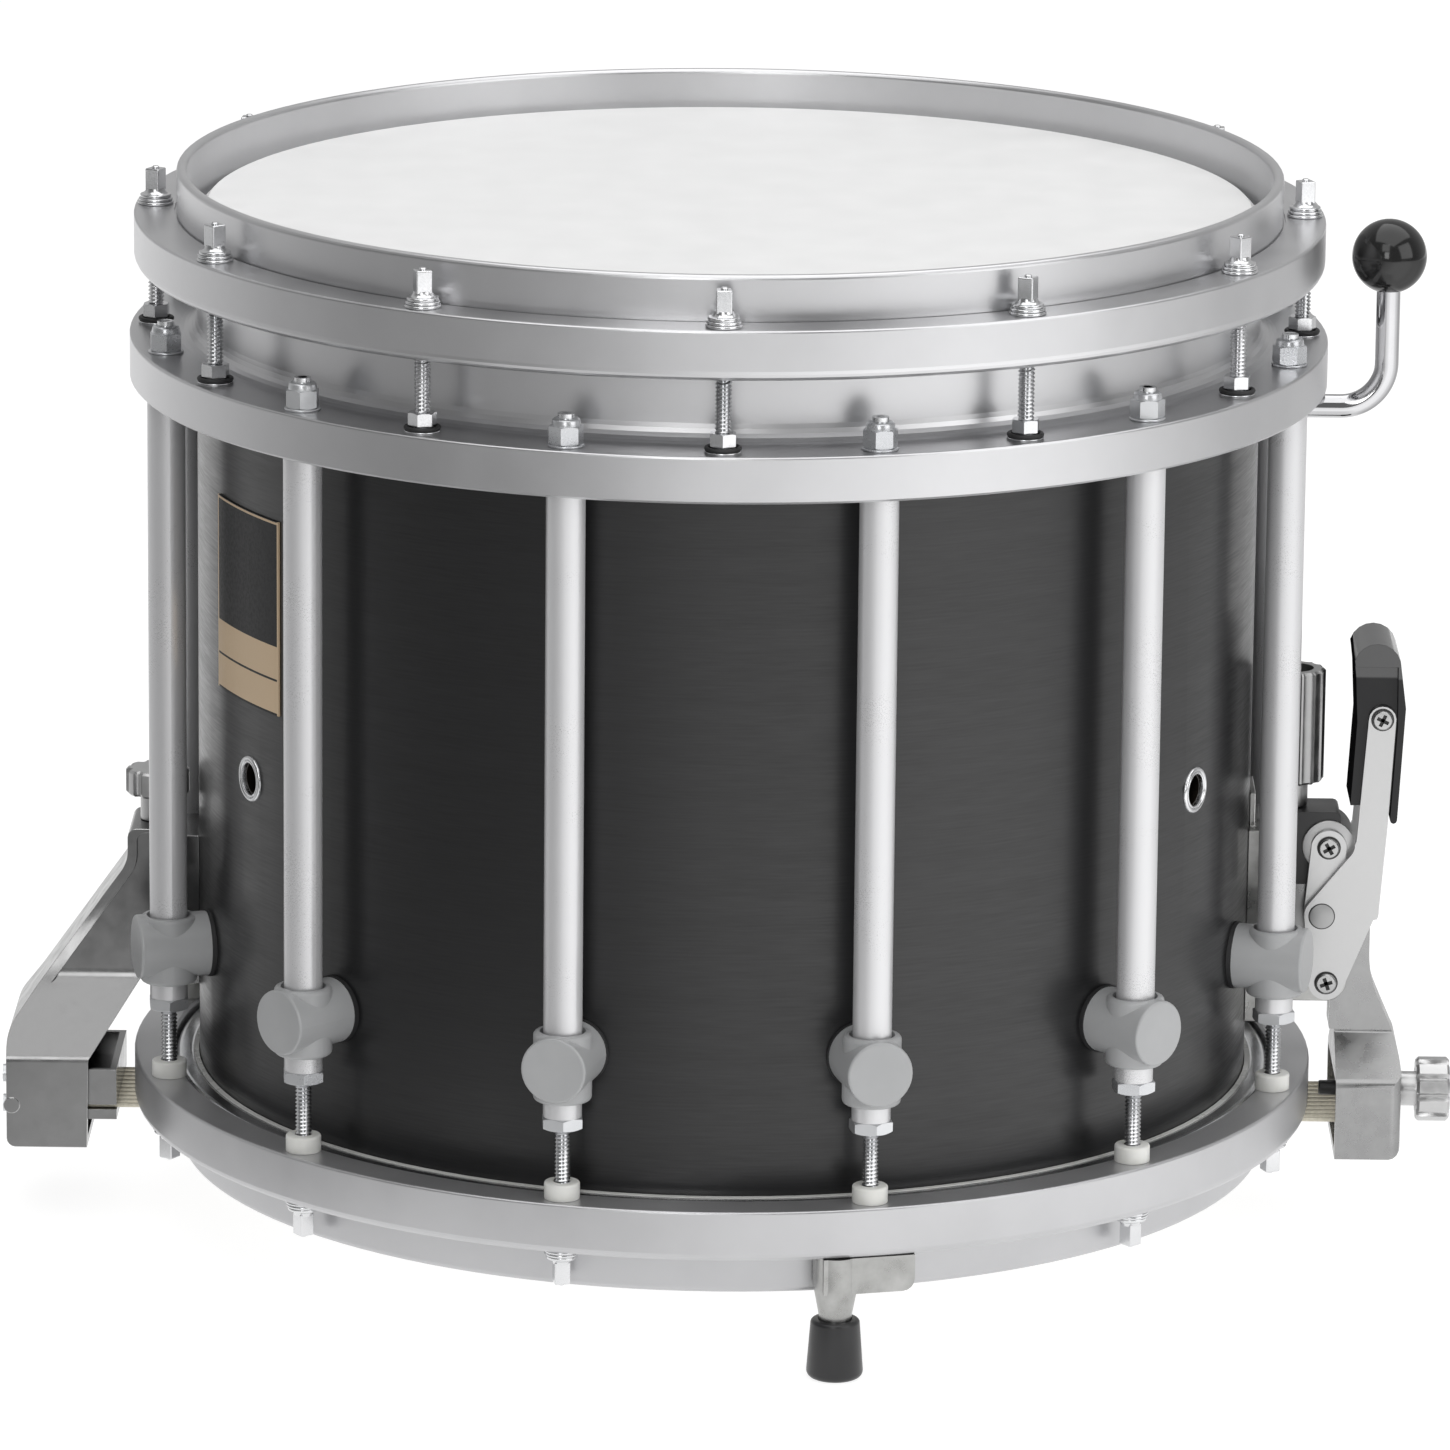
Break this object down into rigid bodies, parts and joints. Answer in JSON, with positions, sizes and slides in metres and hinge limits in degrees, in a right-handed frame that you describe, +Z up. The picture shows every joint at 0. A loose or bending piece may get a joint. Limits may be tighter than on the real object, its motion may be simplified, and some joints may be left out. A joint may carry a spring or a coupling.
{
  "type": "snare drum",
  "caption": "Deep marching snare drum: wooden shell in a free-floating ring, tube lugs, cast hoops, lever strainer, gut snares and a ball lever for the upper snares.",
  "frame": {"origin": "on the drum's axis at the plane of the feet", "axes": "+Z up along the drum's axis, +X towards the strainer, -Y towards the front"},
  "size_m": [0.491, 0.4, 0.3606],
  "materials": {
    "cast_aluminium": "satin cast, light grey",
    "shell_stain": "charcoal stain, satin lacquer",
    "batter_film": "smooth white film",
    "snare_film": "thin hazy film",
    "chrome_hardware": "bright plated",
    "tube_satin": "fine satin, bright",
    "lug_grey": "moulded, satin",
    "black_rubber": "matt",
    "nylon": "milky nylon",
    "strainer_casting": "tumbled casting",
    "block_black": "satin black",
    "handle_black": "satin black",
    "ball_black": "high gloss",
    "lever_steel": "bright satin steel",
    "gut": "cream coated gut",
    "plate_enamel": "black and tan enamel"
  },
  "bodies": {
    "drum": {"top_ring": "cast_aluminium", "batter_hoop": "cast_aluminium", "bottom_hoop": "cast_aluminium", "shell": "shell_stain", "batter_head": "batter_film", "snare_head": "snare_film", "vent_grommets": "chrome_hardware", "batter_flesh_hoop": "chrome_hardware", "snare_flesh_hoop": "chrome_hardware", "top_tension_rods": "chrome_hardware", "top_rod_washers": "chrome_hardware", "top_rod_nuts": "chrome_hardware", "ring_lock_nuts": "chrome_hardware", "ring_nut_washers": "chrome_hardware", "tube_studs": "chrome_hardware", "lug_screws": "chrome_hardware", "tube_end_nuts": "chrome_hardware", "bottom_tension_rods": "chrome_hardware", "bottom_rod_washers": "chrome_hardware", "strainer_base_screws": "chrome_hardware", "lever_pivot_screws": "chrome_hardware", "butt_base_screws": "chrome_hardware", "ball_lever_bush": "chrome_hardware", "ball_lever_nut": "chrome_hardware", "tension_tubes": "tube_satin", "tube_lugs": "lug_grey", "top_rod_o_rings": "black_rubber", "lug_gaskets": "black_rubber", "foot_rubbers": "black_rubber", "bottom_bushes": "nylon", "foot_brackets": "strainer_casting", "strainer_base": "strainer_casting", "butt_base": "strainer_casting", "upper_snare_hinge": "lever_steel", "snare_strands": "gut", "badge_plate": "plate_enamel"},
    "lever": {"lever_plates": "lever_steel", "lever_handle": "handle_black", "lever_handle_screws": "chrome_hardware", "toggle_rivets": "lever_steel"},
    "toggle": {"toggle_links": "lever_steel"},
    "block": {"strainer_block": "block_black", "block_pivot_pin": "chrome_hardware"},
    "height_knob": {"height_knob": "chrome_hardware"},
    "arm": {"strainer_arm": "strainer_casting", "height_stud": "chrome_hardware"},
    "clamp": {"strainer_clamp": "chrome_hardware", "strainer_clamp_screws": "chrome_hardware"},
    "tension_knob": {"tension_knob": "chrome_hardware"},
    "butt_arm": {"butt_arm": "strainer_casting", "butt_clamp": "chrome_hardware", "butt_clamp_screws": "chrome_hardware"},
    "butt_knob": {"butt_knob": "chrome_hardware"},
    "ball_lever": {"ball_lever_rod": "chrome_hardware", "ball_knob": "ball_black", "lift_cam": "lever_steel"},
    "upper_snare": {"upper_snare_frame": "lever_steel", "upper_snare_wires": "lever_steel"}
  },
  "joints": [
    {"name": "lever_swing", "type": "hinge", "parent": "drum", "child": "lever", "pos_m": [0.2042, 0, 0.0849], "axis": [0, 1, 0], "range_deg": [0, 45], "deforming": ["snare_strands"]},
    {"name": "toggle_turn", "type": "hinge", "parent": "lever", "child": "toggle", "pos_m": [0.2022, 0, 0.1082], "axis": [0, 1, 0], "range_deg": [-90, 0]},
    {"name": "block_turn", "type": "hinge", "parent": "toggle", "child": "block", "pos_m": [0.2042, 0, 0.1315], "axis": [0, 1, 0], "range_deg": [0, 45]},
    {"name": "height_knob_turn", "type": "hinge", "parent": "block", "child": "height_knob", "pos_m": [0.1918, 0, 0.165], "axis": [0, 0, 1], "range_deg": [0, 1350]},
    {"name": "arm_slide", "type": "slide", "parent": "block", "child": "arm", "axis": [0, 0, 1], "range_m": [-0.003, 0], "deforming": ["snare_strands"]},
    {"name": "tension_knob_turn", "type": "hinge", "parent": "arm", "child": "tension_knob", "pos_m": [0.235, 0, 0.0438], "axis": [1, 0, 0], "range_deg": [0, 900]},
    {"name": "clamp_slide", "type": "slide", "parent": "arm", "child": "clamp", "axis": [1, 0, 0], "range_m": [-0.002, 0], "deforming": ["snare_strands"]},
    {"name": "butt_knob_turn", "type": "hinge", "parent": "butt_arm", "child": "butt_knob", "pos_m": [-0.19175, 0, 0.145], "axis": [0, 0, 1], "range_deg": [0, 1350]},
    {"name": "butt_arm_slide", "type": "slide", "parent": "drum", "child": "butt_arm", "axis": [0, 0, 1], "range_m": [-0.003, 0], "deforming": ["snare_strands"]},
    {"name": "ball_lever_turn", "type": "hinge", "parent": "drum", "child": "ball_lever", "pos_m": [0.1775, 0, 0.2812], "axis": [1, 0, 0], "range_deg": [0, 90]},
    {"name": "upper_snare_tilt", "type": "hinge", "parent": "drum", "child": "upper_snare", "pos_m": [-0.16, 0, 0.3419], "axis": [0, 1, 0], "range_deg": [0, 0.935]}
  ],
  "couplings": [
    {"joint": "toggle_turn", "follows": "lever_swing", "ratio": -2},
    {"joint": "block_turn", "follows": "lever_swing", "ratio": 1},
    {"joint": "height_knob_turn", "follows": "arm_slide", "rad_per_m": -7854},
    {"joint": "tension_knob_turn", "follows": "clamp_slide", "rad_per_m": -7854},
    {"joint": "butt_knob_turn", "follows": "butt_arm_slide", "rad_per_m": -7854},
    {"joint": "upper_snare_tilt", "follows": "ball_lever_turn", "ratio": 0.010367}
  ]
}
